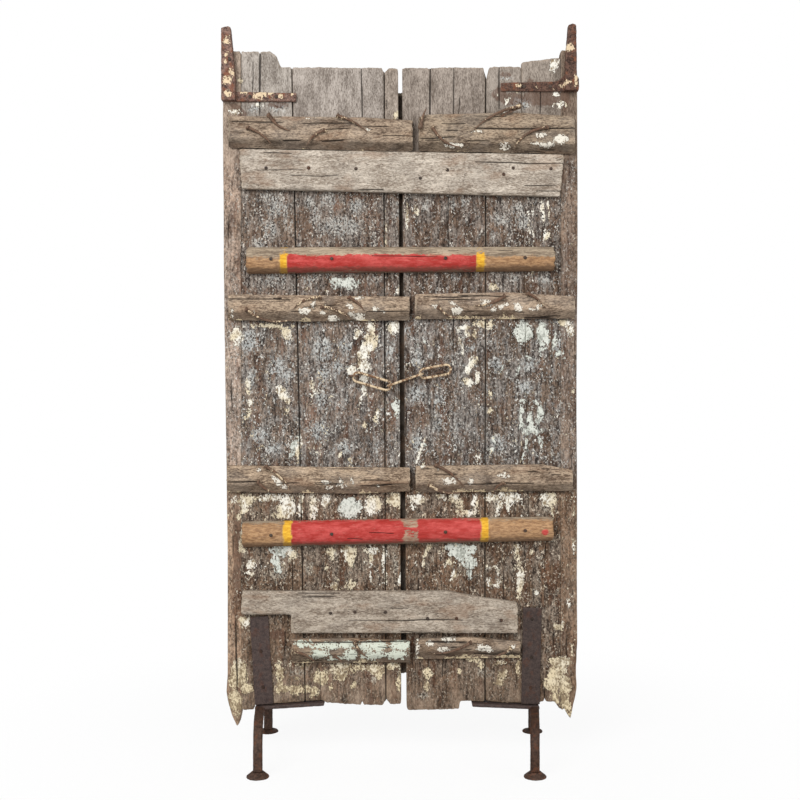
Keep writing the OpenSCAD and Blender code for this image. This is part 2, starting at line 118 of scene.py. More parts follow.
class Surface:
    """A piece's points as arrays, so that wear is worked out for all of them at once."""

    def __init__(self, piece):
        self.piece = piece
        self.mesh = piece.data
        count = len(self.mesh.vertices)
        self.at = self.read(self.mesh.vertices, "co", count * 3, np.float32).reshape(-1, 3)
        self.pairs = self.read(self.mesh.edges, "vertices", len(self.mesh.edges) * 2,
                               np.int32).reshape(-1, 2)
        self.share = np.bincount(self.pairs.ravel(), minlength=count).clip(1)
        self.low, self.high = self.at.min(0), self.at.max(0)
        self.face_out()

    @staticmethod
    def read(items, name, size, kind):
        values = np.empty(size, kind)
        items.foreach_get(name, values)
        return values.astype(float) if kind == np.float32 else values

    def face_out(self):
        self.out = self.read(self.mesh.vertex_normals, "vector", len(self.at) * 3,
                             np.float32).reshape(-1, 3)

    def mean(self, values, rounds):
        """The values, each averaged with its neighbours' a number of times."""
        a, b = self.pairs.T
        values = np.array(values, float)
        for _ in range(rounds):
            columns = values.reshape(len(values), -1)
            total = np.stack([
                np.bincount(a, c[b], len(c)) + np.bincount(b, c[a], len(c)) for c in columns.T
            ], axis=1)
            values = ((columns + total / self.share[:, None]) / 2).reshape(values.shape)
        return values

    def push(self, amount):
        """Moves each point out along its normal."""
        self.at += self.out * np.asarray(amount)[:, None]

    def note(self, name, values):
        """Keeps a number per point for the materials."""
        attribute = self.mesh.attributes.new(name, "FLOAT", "POINT")
        attribute.data.foreach_set("value", np.asarray(values, np.float32))

    def settle(self):
        self.mesh.vertices.foreach_set("co", self.at.astype(np.float32).ravel())
        self.mesh.update()
        self.face_out()

    def unit(self):
        """Each point's place in the piece's box, 0 to 1 per axis."""
        return (self.at - self.low) / (self.high - self.low)


def add_object(name, data):
    made = bpy.data.objects.new(name, data)
    bpy.context.scene.collection.objects.link(made)
    return made


def even_copy(node, cell, stretch=(1, 1, 1)):
    """A new piece with the node's shape in small even faces, longer along the grain."""
    mesh = frame["nodes"][node].data.copy()
    squeeze = Matrix.Diagonal([1 / s for s in stretch] + [1])
    mesh.transform(squeeze)
    piece = add_object("worn_" + node, mesh)
    grid = piece.modifiers.new("grid", "REMESH")
    grid.mode = "VOXEL"
    grid.voxel_size = cell
    bpy.context.view_layer.update()
    seen = piece.evaluated_get(bpy.context.evaluated_depsgraph_get())
    gridded = bpy.data.meshes.new_from_object(seen)
    piece.modifiers.clear()
    piece.data = gridded
    gridded.name = piece.name
    gridded.transform(squeeze.inverted())
    gridded.materials.clear()
    gridded.shade_smooth()
    return piece


def finish_piece(piece, node, material, variant=1):
    """Gives a worn copy its material and tone, and puts it in the node's place."""
    piece.data.materials.append(MATERIALS[material])
    piece.color = (*TONES.get(node, (1, 1, 1)), variant)
    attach(piece, BODY_OF[node])
    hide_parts(node)


# ---------- wood

FAR = 10 * MM # from a crack, where nothing of it is felt any more
END_ZONE = 30 * MM # the length at each end of a board over which its end wears back


def crack_distance(at, cracks, along, across, seed):
    """Distance from each point to the nearest crack, and how deep that crack is there."""
    near = np.full(len(at), FAR)
    depth = np.zeros(len(at))
    for i, (place, start, end, width) in enumerate(cracks):
        run = at[:, along]
        line = place + 2.5 * MM * lumps(at * np.eye(3)[along], 70 * MM, seed + i)
        t = np.clip((run - start) / (end - start), 0, 1)
        w = width * np.sqrt(np.clip(4 * t * (1 - t), 0, 1))
        d = np.abs(at[:, across] - line) + (w <= 0) * FAR
        near = np.minimum(near, np.maximum(d - w / 2, 0))
        depth = np.maximum(depth, ease(d, w / 2 + 2.2 * MM, w / 2) * np.minimum(1, w / MM))
    return near, depth


def seeded_cracks(low, high, along, across, count, reach, seed):
    """Fine cracks at random places along the grain, up to a share of the board long."""
    pick = np.random.default_rng(seed)
    found = []
    for _ in range(count):
        length = pick.uniform(0.2, 1) * reach * (high[along] - low[along])
        start = pick.uniform(low[along] - 0.3 * length, high[along] - 0.7 * length)
        place = pick.uniform(low[across], high[across])
        found.append((place, start, start + length, pick.uniform(0.3, 1.1) * MM))
    return found


def placed(cracks, low, high, along, across):
    """Cracks given in percent of the board's box, turned into metres."""
    span = high - low
    return [(low[across] + p / 100 * span[across], low[along] + a / 100 * span[along],
             low[along] + b / 100 * span[along], w * MM) for p, a, b, w in cracks]


def wear_wood(s, along, across, cracks, seed, edge_wear=3 * MM, end_wear=5 * MM):
    """Rounds, splits and weathers a board whose fibres run along one axis."""
    fine = s.at.copy()
    soft = s.mean(s.at, 3)
    sharp = np.einsum("ij,ij->i", fine - s.mean(fine, 10), s.out)
    edge = ease(sharp, 0.3 * MM, 1.6 * MM)
    s.at = soft
    rub = np.clip(rough(s.at, stretched(16 * MM, 60 * MM, along), seed + 1, 3) + 0.25, 0, 1.2)
    s.push(-edge * rub * edge_wear)
    ridge = rough(s.at, stretched(6 * MM, 160 * MM, along), seed + 2, 2)
    groove = np.clip(rough(s.at, stretched(9 * MM, 300 * MM, along), seed + 3, 3) - 0.3, 0, 1)
    swell = lumps(s.at, stretched(70 * MM, 350 * MM, along), seed + 4)
    dent = np.clip(rough(s.at, stretched(14 * MM, 26 * MM, along), seed + 5, 2) - 0.45, 0, 1)
    s.push(ridge * 0.45 * MM - groove * 3.2 * MM + swell * 0.8 * MM - dent * 3 * MM - 0.3 * MM)
    near, depth = crack_distance(s.at, cracks, along, across, seed + 7)
    side_on = ease(np.abs(s.out[:, across]), 0.6, 0.9)
    near += side_on * FAR
    s.push(-depth * (1 - side_on) * 3.5 * MM)
    end_noise = rough(s.at, stretched(7 * MM, 400 * MM, along), seed + 6, 3) + 0.6
    inward = np.clip(end_noise, 0, 1.6) * end_wear
    top = ease(s.at[:, along], s.high[along] - END_ZONE, s.high[along])
    foot = ease(-s.at[:, along], -s.low[along] - END_ZONE, -s.low[along])
    s.at[:, along] += (foot - top) * inward
    s.note("edge", edge)
    s.note("crack", near / MM)
    s.settle()


# ---------- where paint is left

LEAF = {
    "left": (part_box("left_stile")[0][X] + 5 * MM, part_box("left_inner_plank")[1][X]),
    "right": (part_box("right_inner_plank")[0][X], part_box("right_stile")[1][X] - 6 * MM),
}
ZONE = {
    "head": (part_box("right_batten_1")[1][Z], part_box("right_inner_plank")[1][Z]),
    "upper": (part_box("right_batten_2")[1][Z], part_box("upper_cross_board")[0][Z]),
    "middle": (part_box("right_batten_3")[1][Z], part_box("left_batten_2")[0][Z]),
    "lower": (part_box("lower_cross_board")[1][Z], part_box("left_batten_3")[0][Z] - 6 * MM),
    "foot": (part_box("right_inner_plank")[0][Z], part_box("lower_cross_board")[0][Z]),
}

# Paint that is left, as (percent across the leaf, percent up the zone, half width mm, half height
# mm), and its lean where it has one
CREAM = {
    ("left", "head"): [(9, 69, 8, 9), (6, 4, 14, 7), (19, 20, 11, 9), (97, -3, 9, 11)],
    ("right", "head"): [
        (88, 104, 12, 20, 0.3), (61, 30, 6, 12, 0.3), (58, 6, 9, 6, 0.4), (91, 20, 17, 9), (89, 44, 9, 8),
        (67, 50, 8, 6), (51, 47, 3, 4), (55, 42, 3, 3), (98, 77, 9, 15),
    ],
    ("left", "upper"): [(47, 4, 9, 6), (98, 3, 9, 9), (91, 60, 2, 50)],
    ("right", "upper"): [
        (73, 74, 3, 62), (75.5, 50, 2, 60), (81, 88, 4, 28), (84, 90, 3, 24), (53, 6, 12, 9),
        (9, 87, 6, 14), (3, 80, 4, 30), (83, 60, 9, 12),
    ],
    ("left", "middle"): [
        (7, 90, 17, 24), (26, 97, 50, 6), (35, 92, 14, 22, -0.3), (83, 96, 14, 18), (83, 87, 15, 28),
        (79, 79, 18, 30, 0.2), (79, 69, 15, 28), (72, 66, 15, 14), (79, 60, 14, 14), (79, 52, 8, 18),
        (77, 44, 6, 14, 0.2), (75.5, 92, 11, 12, 0.4), (96, 96, 20, 18, -0.2), (13, 56, 6, 20),
        (32, 50, 15, 22, -0.3), (35, 46, 9, 18, -0.2), (35, 38, 7, 9), (50, 53, 6, 21), (14, 43, 8, 11),
        (13, 35, 6, 15, 0.5), (79, 27, 6, 9), (65, 6, 6, 6), (71, 3, 9, 6), (42, 11, 7, 31),
        (91, 38, 2, 14), (86, 34, 8, 20),
    ],
    ("right", "middle"): [
        (35, 96, 15, 9, 0.6), (45, 98, 18, 11), (51, 97, 11, 12), (34, 84, 6, 14, -0.2),
        (35, 78, 5, 12, -0.2), (38, 91, 9, 8), (42, 90, 5, 9), (41, 73, 11, 12), (39, 67, 12, 20, 0.3),
        (38, 58, 15, 14, -0.3), (44, 61, 8, 16), (97, 95, 12, 22, -0.2), (93, 99, 18, 7), (51, 49, 7, 8),
        (51, 38, 9, 8, 0.2), (10, 7, 6, 30, 0.4), (12.5, -1, 6, 5), (44, 4, 9, 6), (98.5, 50, 3, 9),
    ],
    ("left", "lower"): [
        (12, 94, 25, 18), (11, 85, 12, 9), (26, 97.5, 67, 10), (35, 86, 26, 30), (33, 78, 30, 9),
        (43, 91, 5, 32), (50, 88, 11, 34), (57, 95, 14, 17), (84, 90, 21, 26), (96.5, 95, 25, 18, 0.3),
        (8, 77, 9, 9), (9, 55, 5, 21, 0.1), (10, 43, 14, 6), (38, 38, 16, 16), (15, 27, 12, 11),
        (14, 17, 12, 9), (24, 25, 11, 4), (34, 26, 7, 6), (60, 41, 14, 14, -0.3), (61, 35, 6, 10, -0.3),
        (70, 42, 23, 13), (71, 37, 17, 24, -0.1), (72, 28, 9, 9), (83, 42, 20, 11), (83, 33, 7, 18),
        (82.5, 18, 3, 18), (90.5, 33, 6, 31), (91, 13, 5, 18), (58, 24, 7, 5), (62, 4, 12, 11),
        (71, 5, 14, 12), (99, 12, 4, 12),
    ],
    ("right", "lower"): [
        (9, 96, 23, 15), (6, 90, 6, 12), (23, 99, 16, 8), (30, 98, 18, 14, -0.3), (33.5, 92, 11, 16, -0.2),
        (34, 85, 4, 12), (42, 94, 9, 18), (42, 84, 3, 12), (37.5, 81, 31, 8), (51, 97.5, 14, 13),
        (62, 97, 34, 15), (61, 88, 6, 18, -0.2), (56, 90, 8, 17, 0.3), (85, 95, 23, 20), (87, 85, 4, 21),
        (79, 79, 7, 4), (54, 79, 9, 4), (99, 84, 4, 18), (99, 46, 4, 18), (27, 29, 12, 9),
        (30, 16, 7, 14, 0.3), (14, 40, 9, 18, 0.3), (12, 29, 7, 12), (15.5, 46, 11, 6), (67, 41, 8, 20),
        (68, 9, 10, 46), (49, 23, 5, 9), (50, 8, 6, 9), (53, 24, 12, 4, -1), (55, 18, 4, 18),
        (55, 6, 9, 12), (60, 1, 5, 3), (77, -4, 6, 6), (74, 40, 5, 12),
    ],
    ("left", "foot"): [
        (11, 114, 16, 14), (8, 50, 22, 34), (7, 38, 24, 20), (13, 29, 21, 14), (6, 12, 17, 38, -0.1),
        (31, 50, 13, 28), (31, 29, 13, 15), (41, 27, 46, 12), (51, 24, 12, 15), (55, 42, 21, 21),
        (67, 53, 37, 14), (66, 44, 15, 12), (76, 55, 18, 11), (85, 52, 25, 15), (87, 45, 9, 11),
        (95, 56, 25, 8), (98.5, 40, 6, 22), (41, 42, 6, 6), (37, 61, 6, 5), (44, 58, 18, 6), (60, 30, 6, 8),
        (73, 33, 8, 12),
    ],
    ("right", "foot"): [
        (15, 48, 14, 15), (13.6, 33, 8, 14), (33, 49, 7, 9, -0.2), (41, 65, 21, 6), (45, 59, 9, 12),
        (57, 62, 11, 6), (58, 46, 15, 14), (56, 36, 14, 11), (67, 53, 6, 21), (90, 106, 14, 8),
        (93, 112, 4, 12), (95.8, 135, 5, 15, 0.2), (91, 62, 28, 15), (90, 50, 25, 22), (87, 36, 25, 25),
        (94, 31, 18, 32), (95, 10, 14, 28, -0.2), (89, 17, 12, 18, -0.3), (98, 78, 4, 18),
        (97, -5, 6, 14, -0.2), (31, 39, 4, 4),
    ],
}
PALE = {
    ("left", "upper"): [(69, 10, 38, 15), (62, 13, 12, 9)],
    ("left", "middle"): [(97, 40, 9, 24), (39, 12, 9, 27, 0.3)],
    ("left", "lower"): [
        (71, 86, 31, 27), (32, 41, 28, 17), (29, 30, 12, 12), (30, 21, 9, 14, -0.3), (71, 40, 10, 20),
    ],
    ("right", "middle"): [
        (70, 93, 25, 31), (81, 90.5, 16, 34), (80, 81, 3, 14), (88, 86, 6, 21, 0.2), (90.5, 78, 11, 8),
        (69, 36, 6, 25), (69, 27, 5, 18), (74, 29, 8, 31), (80, 37, 11, 16, -0.3), (79, 29, 6, 18, 0.3),
        (75, 23, 28, 8), (72, 15, 6, 20), (80, 15, 4, 18, -0.2), (70, 44, 9, 5), (77, 44, 5, 9),
        (58, 67, 4, 11), (67, 66, 4, 11, 0.3), (73, 75, 8, 5), (77, 71, 4, 5), (51, 10, 10, 9),
        (53, 17, 6, 14, -0.3), (70, 5, 4, 9), (13, 86, 3, 3), (9, 84, 3, 4), (93, 74, 4, 4), (13, 14, 8, 5),
    ],
    ("right", "lower"): [
        (34, 40, 34, 21), (38, 29, 22, 21, -0.2), (39, 18, 8, 17, -0.1), (28, 46, 17, 9), (40, 43, 14, 12),
    ],
}
# Crumbs of an older blue-grey coat, with the same columns
HAZE = {
    ("left", "head"): [(17, 12, 22, 14), (30, 14, 30, 16)],
    ("right", "head"): [(68, 20, 30, 22), (60, 75, 18, 10)],
    ("left", "upper"): [
        (26, 98, 36, 20), (30, 88, 38, 28), (36, 72, 16, 26), (26, 66, 22, 30), (20, 50, 20, 24),
        (48, 95, 18, 22), (51, 81, 18, 30), (54, 70, 10, 20), (74, 90, 22, 28), (66, 70, 58, 30),
        (59, 98, 34, 20), (96.5, 85, 13, 26), (84, 14, 24, 16), (47, 14, 20, 16), (27, 14, 46, 18),
    ],
    ("right", "upper"): [
        (14, 93, 14, 18), (29, 92, 18, 12), (36, 96, 10, 12), (57, 77, 26, 20), (69, 74, 24, 24),
        (67, 89, 20, 20), (65, 16, 20, 14), (82, 15, 27, 17), (31, 14, 17, 11), (53, 60, 12, 18),
    ],
    ("left", "middle"): [
        (30, 68, 24, 36), (34, 63, 20, 20), (14, 87, 30, 38), (55, 80, 30, 36), (56, 65, 20, 30),
        (64, 68, 20, 26), (53, 23, 26, 26), (55, 45, 22, 24), (68, 12, 26, 24), (86, 12, 12, 26),
        (28, 11, 24, 18), (20, 21, 26, 26), (68, 83, 22, 24), (94, 80, 12, 30), (15, 58, 14, 30),
    ],
    ("right", "middle"): [
        (9, 74, 17, 24), (9, 49, 26, 30), (21, 45, 14, 22), (21.5, 29, 14, 34), (54, 71, 26, 22),
        (73, 69, 24, 20), (71, 53, 28, 22), (55, 14, 22, 26), (31, 25, 6, 46), (3, 93, 11, 28),
        (41, 82, 12, 14), (89, 83, 14, 22), (8, 15, 18, 26),
    ],
    ("left", "lower"): [(48, 22, 14, 22), (97, 29, 14, 30), (30, 16, 30, 16)],
    ("right", "lower"): [(55, 90, 14, 16), (82, 86, 26, 14), (80, 34, 12, 10)],
    ("left", "foot"): [(42, 50, 30, 14), (84, 40, 14, 14)],
    ("right", "foot"): [(47, 50, 24, 18), (12, 20, 20, 16)],
}
# Wood that rust has stained dark, with the same columns
RUST = {
    ("left", "head"): [(13, 30, 50, 10), (8, 5, 20, 24, -0.5), (30, 20, 34, 12)],
    ("right", "head"): [
        (56, 42, 24, 20), (64, 32, 40, 20), (80, 34, 56, 26), (60, 82, 20, 10), (93, 35, 20, 40),
        (74, 68, 12, 14),
    ],
    ("left", "foot"): [(30, 97, 26, 16), (83, 10, 8, 30)],
    ("left", "lower"): [(7, 40, 12, 150)],
}
# Paint on the battens and the pivot irons, with the same columns but percent along and up the piece
CHIPS = {
    "left_batten_1": [(75, 60, 6, 4), (45, 95, 9, 3)],
    "right_batten_1": [
        (24, 16, 22, 5, -0.6), (14, 35, 8, 5), (78, 42, 10, 6), (90, 31, 18, 13), (81, 20, 34, 6),
        (55, 15, 15, 7), (38, 50, 12, 3),
    ],
    "left_batten_2": [
        (47, 63, 5, 9, 0.2), (42, 38, 12, 8, 0.5), (68, 27, 9, 6), (67, 55, 8, 7, -0.8), (72, 15, 15, 9),
        (58, 5, 15, 9), (81, 44, 5, 4), (85, 36, 4, 3), (14, 33, 6, 5), (3, 30, 3, 12), (52, 30, 8, 4),
        (55, 50, 7, 6, -0.6), (72, 85, 16, 4),
    ],
    "right_batten_2": [
        (26, 30, 14, 11), (44, 57, 17, 9), (53, 46, 10, 5), (57, 55, 5, 5), (64, 43, 13, 12, -0.4),
        (74, 37, 10, 3), (77, 50, 6, 6), (13, 46, 8, 5), (24, 58, 7, 5, -0.8), (49, 35, 6, 5),
    ],
    "left_batten_3": [
        (18, 84, 7, 5, 0.4), (28, 42, 8, 16, -0.9), (31, 25, 9, 5), (53, 42, 12, 4), (62, 42, 7, 12),
        (61, 28, 12, 4), (68, 45, 6, 9), (82, 30, 5, 4), (56, 22, 10, 5, -0.7),
    ],
    "right_batten_3": [
        (22, 42, 20, 8), (35, 40, 7, 7), (15, 90, 7, 7, 0.6), (5, 90, 6, 5), (55, 60, 14, 6),
    ],
    "left_batten_4": [
        (10, 80, 22, 9), (30, 72, 45, 9), (24, 38, 24, 14), (50, 40, 16, 16), (47, 76, 26, 9),
        (68, 34, 34, 13), (70, 72, 40, 14), (88, 36, 30, 14), (92, 74, 34, 13), (38, 20, 34, 6),
    ],
    "right_batten_4": [
        (14, 72, 10, 6), (27, 48, 18, 9), (65, 52, 20, 9, -0.4), (92, 60, 7, 4), (2, 50, 6, 20),
        (85, 30, 10, 5), (32, 95, 16, 9),
    ],
    "left_pivot_iron": [
        (7, 80, 9, 8), (9, 85, 6, 5, 0.5), (7, 62, 6, 9, 0.5), (6, 51, 3, 11), (14, 38, 5, 9),
        (8, 27, 12, 12), (10, 8, 11, 9), (49, 8, 14, 11), (57, 11, 9, 8), (65, 13, 12, 9, 0.4),
        (78, 8, 6, 7), (94, 12, 4, 9), (30, 12, 10, 6),
    ],
    "right_pivot_iron": [(88, 64, 15, 10), (83, 10, 11, 7, 0.5), (96, 14, 5, 13), (24, 10, 8, 5, 0.4)],
}


BARE = -25 * MM # how deep in paint a point far from any spot is


def within(at, spots, low, high):
    """How far inside the nearest of a box's spots each point is, in metres, and negative outside."""
    depth = np.full(len(at), BARE)
    for across, up, half_w, half_h, lean in [(*spot, 0)[:5] for spot in spots]:
        cx = low[0] + across / 100 * (high[0] - low[0])
        cz = low[1] + up / 100 * (high[1] - low[1])
        away = np.hypot((at[:, X] - cx - lean * (at[:, Z] - cz)) / (half_w * MM),
                        (at[:, Z] - cz) / (half_h * MM))
        depth = np.maximum(depth, (1 - away) * (min(half_w, half_h) + 2) * MM)
    return depth


def ragged(at, amount=6 * MM):
    """The points, shaken sideways so that what is drawn with them gets uneven edges."""
    sway = [rough(at, 30 * MM, seed, 3) for seed in (61, 71)]
    return at + amount * np.stack([sway[0], np.zeros(len(at)), sway[1]], axis=1)


def inside(at, patches):
    """The same for patches given per leaf and zone."""
    at = ragged(at)
    depth = np.full(len(at), BARE)
    for (leaf, zone), spots in patches.items():
        (left, right), (low, high) = LEAF[leaf], ZONE[zone]
        depth = np.maximum(depth, within(at, spots, (left, low), (right, high)))
    return depth


# How deep in cream paint the wood between the patches is, from the foot to the head of a leaf: the
# nearer to 0, the more crumbs of it are left
CRUMBS_MM = [-7.5, -6, -5, -6.5, -8, -18]


def paint_planks(s):
    """Notes on a plank or stile where it is bare, stained, speckled and painted."""
    z = s.at[:, Z]
    head = ease(z, ZONE["upper"][1] - 10 * MM, ZONE["head"][0])
    foot = ease(-z, -ZONE["lower"][0], -ZONE["foot"][0])
    front = ease(-s.at[:, Y], 0, 10 * MM)
    s.note("bare", np.maximum(head, 0.42 * foot) * front + 0.75 * (1 - front))
    s.note("foot", front * foot)
    s.note("upper", front * ease(z, ZONE["middle"][1], ZONE["upper"][0]) * (1 - head))
    s.note("low", front * ease(-z, -ZONE["middle"][0], -ZONE["lower"][1]))
    s.note("haze", front * ease(inside(s.at, HAZE), -8 * MM, 14 * MM))
    s.note("rust", front * ease(inside(s.at, RUST), -6 * MM, 10 * MM))
    heights = [ZONE["foot"][0], ZONE["lower"][0], ZONE["lower"][1], ZONE["middle"][1],
               ZONE["upper"][1], ZONE["head"][0]]
    crumbs = np.interp(z, heights, CRUMBS_MM) * MM + 3.5 * MM * rough(s.at, 22 * MM, 81, 2)
    behind = 60 * MM * (1 - front)
    s.note("cream", (np.maximum(inside(s.at, CREAM), crumbs) - behind) / MM)
    s.note("pale", (inside(s.at, PALE) - behind) / MM)


# ---------- materials

def tone(red, green, blue):
    """A colour as it is seen, 0 to 255 a channel, for a shader."""
    linear = [((c / 255 + 0.055) / 1.055) ** 2.4 for c in (red, green, blue)]
    return (*linear, 1)


def even(value):
    """The same number in all four channels of a colour."""
    return (value,) * 4


class Value:
    """A shader node's output; +, - and * on it add the nodes that work the result out."""

    def __init__(self, tree, socket):
        self.tree, self.socket = tree, socket

    def __add__(self, other):
        return self.tree.math("ADD", self, other)

    def __sub__(self, other):
        return self.tree.math("SUBTRACT", self, other)

    def __rsub__(self, other):
        return self.tree.math("SUBTRACT", other, self)

    def __mul__(self, other):
        return self.tree.math("MULTIPLY", self, other)


class Tree:
    """Short names for building the nodes of a world or a material."""

    def __init__(self, owner):
        owner.use_nodes = True
        self.nodes = owner.node_tree.nodes
        self.links = owner.node_tree.links

    def put(self, socket, value):
        """Links a value to a socket, or sets the socket to a plain number or colour."""
        if isinstance(value, Value):
            self.links.new(value.socket, socket)
        else:
            socket.default_value = value

    def fill(self, node, inputs):
        for name, value in inputs.items():
            self.put(node.inputs[name], value)

    def node(self, kind, inputs, output=0, **settings):
        """An output of a new shader node with the given settings and inputs."""
        node = self.nodes.new("ShaderNode" + kind)
        for name, value in settings.items():
            setattr(node, name, value)
        self.fill(node, inputs)
        return Value(self, node.outputs[output])

    def math(self, kind, a, b):
        return self.node("Math", {0: a, 1: b}, operation=kind)


class Material(Tree):
    """A tree that starts from a piece's own place, tone and notes and ends in its surface."""

    def __init__(self, name):
        self.material = bpy.data.materials.new(name)
        super().__init__(self.material)
        self.surface = self.nodes["Principled BSDF"]
        self.place = self.node("TexCoord", {}, "Object")
        self.shake = None

    def note(self, name):
        return self.node("Attribute", {}, "Fac", attribute_name=name)

    def piece(self, output):
        """A piece's own tone (Color) or variant (Alpha)."""
        return self.node("ObjectInfo", {}, output)

    def most(self, a, b):
        return self.math("MAXIMUM", a, b)

    def step(self, value, low, high):
        """0 up to low and 1 from high, smooth between them; 1 to 0 where high is the lower one."""
        falls = low > high
        limits = {"From Min": min(low, high), "From Max": max(low, high),
                  "To Min": float(falls), "To Max": float(not falls)}
        return self.node("MapRange", {"Value": value, **limits}, "Result",
                         interpolation_type="SMOOTHSTEP")

    def mix(self, share, a, b, kind="MIX"):
        return self.node("Mix", {0: share, 6: a, 7: b}, 2, data_type="RGBA", blend_type=kind)

    def tint(self, share, colour, glass):
        """The colour, seen through a share of coloured glass."""
        return self.mix(share, colour, glass, "MULTIPLY")

    def scaled(self, size, offset):
        """The place on the piece, counted in steps of a size in mm per axis."""
        steps = [1 / (s * MM) for s in size]
        start = (offset, offset * 0.7, offset * 1.3)
        return self.node("VectorMath", {0: self.place, 1: steps, 2: start}, operation="MULTIPLY_ADD")

    def grain(self, size, detail, roughness, offset=0, output="Fac"):
        """Noise from 0 to 1 whose lumps have the given size in mm per axis."""
        return self.node("TexNoise", {"Vector": self.scaled(size, offset), "Scale": 1,
                                      "Detail": detail, "Roughness": roughness}, output)

    def cells(self, size, offset):
        """A number from 0 to 1 for each ragged flake of the given size in mm per axis."""
        if self.shake is None:
            self.shake = self.grain((6, 6, 8), 3, 0.6, output="Color")
        shaken = self.node("VectorMath", {0: self.shake, 1: (1.1,) * 3, 2: self.scaled(size, offset)},
                           operation="MULTIPLY_ADD")
        flake = self.node("TexVoronoi", {"Scale": 1, "Vector": shaken}, "Color")
        return self.node("SeparateColor", {0: flake})

    def done(self, colour, roughness, relief, metallic=0):
        """Finishes the material; relief is a height in mm."""
        normal = self.node("Bump", {"Strength": 1, "Distance": MM, "Height": relief})
        self.fill(self.surface, {"Base Color": colour, "Roughness": roughness, "Metallic": metallic,
                                 "Specular IOR Level": 0.25, "Normal": normal})
        return self.material


def wood_base(m, along, dark, light, run=8):
    """Bare wood from dark to light by its fibres, streaks and blotches, with darkened pits."""
    fine = m.grain(stretched(2.2, run, along), 4, 0.7)
    streak = m.grain(stretched(9, 8 * run, along), 4, 0.6, 3)
    blotch = m.grain(stretched(38, 70, along), 4, 0.6, 7)
    shade = fine * 0.5 + streak * 0.2 + blotch * 0.3
    colour = m.mix(m.step(shade, 0.39, 0.62), dark, light)
    pits = m.step(m.grain(stretched(2.2, 7, along), 3, 0.6, 11), 0.58, 0.68)
    return m.mix(pits * 0.5, colour, tone(60, 49, 42)), shade, blotch, pits


def flakes(m, name, coarse, fine, offset=0):
    """The mask of a paint whose depth inside its patch, in mm, is noted, and of a painted shadow just
    outside its edge.
    """
    big = m.cells((8, 8, 11), 20 + offset) - 0.5
    small = m.cells((3, 3, 4), 31 + offset) - 0.5
    holes = m.step(small, 0.38, 0.41) * -12
    depth = m.note(name) + big * coarse + small * fine + holes
    mask = m.step(depth, -0.2, 0.5)
    return mask, m.step(depth, -2.6, -0.4) * (1 - mask)


def cracked(m, colour, relief):
    """Dark cracks over a colour, and their relief."""
    crack = m.step(m.note("crack"), 1.3, 0.2)
    return m.mix(crack * 0.9, colour, tone(30, 24, 20)), relief - crack * 1.5


def old_coat(m, colour, covered, mottle, coat):
    """What is left of an old grey coat: gloom, grime, crumbs and specks, and the crumbs' mask."""
    haze = m.note("haze")
    gloom = m.step(m.grain((44, 44, 95), 3, 0.6, 105), 0.48, 0.6) * (1 - haze)
    colour = m.tint(gloom * covered, colour, tone(214, 208, 204))
    coated = covered * m.mix(m.note("foot"), even(1), even(0.55))
    old = m.step(m.grain((24, 24, 60), 4, 0.65, 43) + haze * 0.1, 0.44, 0.58)
    grey = m.mix(m.step(mottle, 0.4, 0.6), tone(54, 49, 47), tone(160, 155, 149))
    colour = m.mix(old * coated * (coat + 0.2), colour, grey)
    spread = m.step(m.grain((24, 24, 150), 4, 0.65, 101), 0.43, 0.57)
    here = m.most(coated * (spread * 0.5 + 0.5) * (coat + 0.5), haze)
    dots = (m.grain((4.4, 4.4, 5.6), 2, 0.7, 51) * 0.72 + m.grain((9, 9, 22), 3, 0.6, 57) * 0.3
            + haze * 0.09)
    crumbs = m.step(dots, 0.565, 0.605) * here
    hue = m.mix(m.step(m.grain((6, 6, 8), 2, 0.6, 63), 0.42, 0.56),
                tone(146, 148, 146), tone(234, 231, 222))
    hue = m.mix(haze * 0.62, hue, tone(166, 168, 166))
    colour = m.mix(crumbs * 0.95, colour, hue)
    dark = m.step(m.grain((4.6, 4.6, 6.6), 2, 0.7, 67), 0.55, 0.61)
    return m.mix(dark * here * 0.9, colour, tone(40, 33, 29)), crumbs


def patches(m, colour):
    """Flaked patches of grey and of cream paint with a painted shadow around their edges, and the masks of
    paint and of its clean parts.
    """
    foot = m.note("foot")
    pale, pale_shadow = flakes(m, "pale", 8, 5, 2)
    cream, cream_shadow = flakes(m, "cream", 8, 7)
    # painted shadow just outside the edges of the flakes
    colour = m.mix(m.most(cream_shadow, pale_shadow) * 0.45, colour, tone(52, 43, 38))
    clean = m.step(m.grain((4.4, 4.4, 6.4), 2, 0.65, 71) * 0.6 + m.grain((24, 24, 30), 3, 0.6, 73) * 0.4
                   + foot * -0.05, 0.38, 0.54)
    fresh = m.step(m.grain((40, 40, 60), 2, 0.5, 77), 0.42, 0.6) * (1 - foot)
    tan = m.mix(foot, tone(224, 211, 183), tone(222, 205, 170))
    light = m.mix(fresh, tan, tone(240, 236, 224))
    colour = m.mix(pale, colour, m.mix(clean, tone(152, 154, 144), tone(216, 218, 208)))
    colour = m.mix(cream, colour, m.mix(clean, tone(142, 124, 98), light))
    return colour, m.most(pale, cream), clean


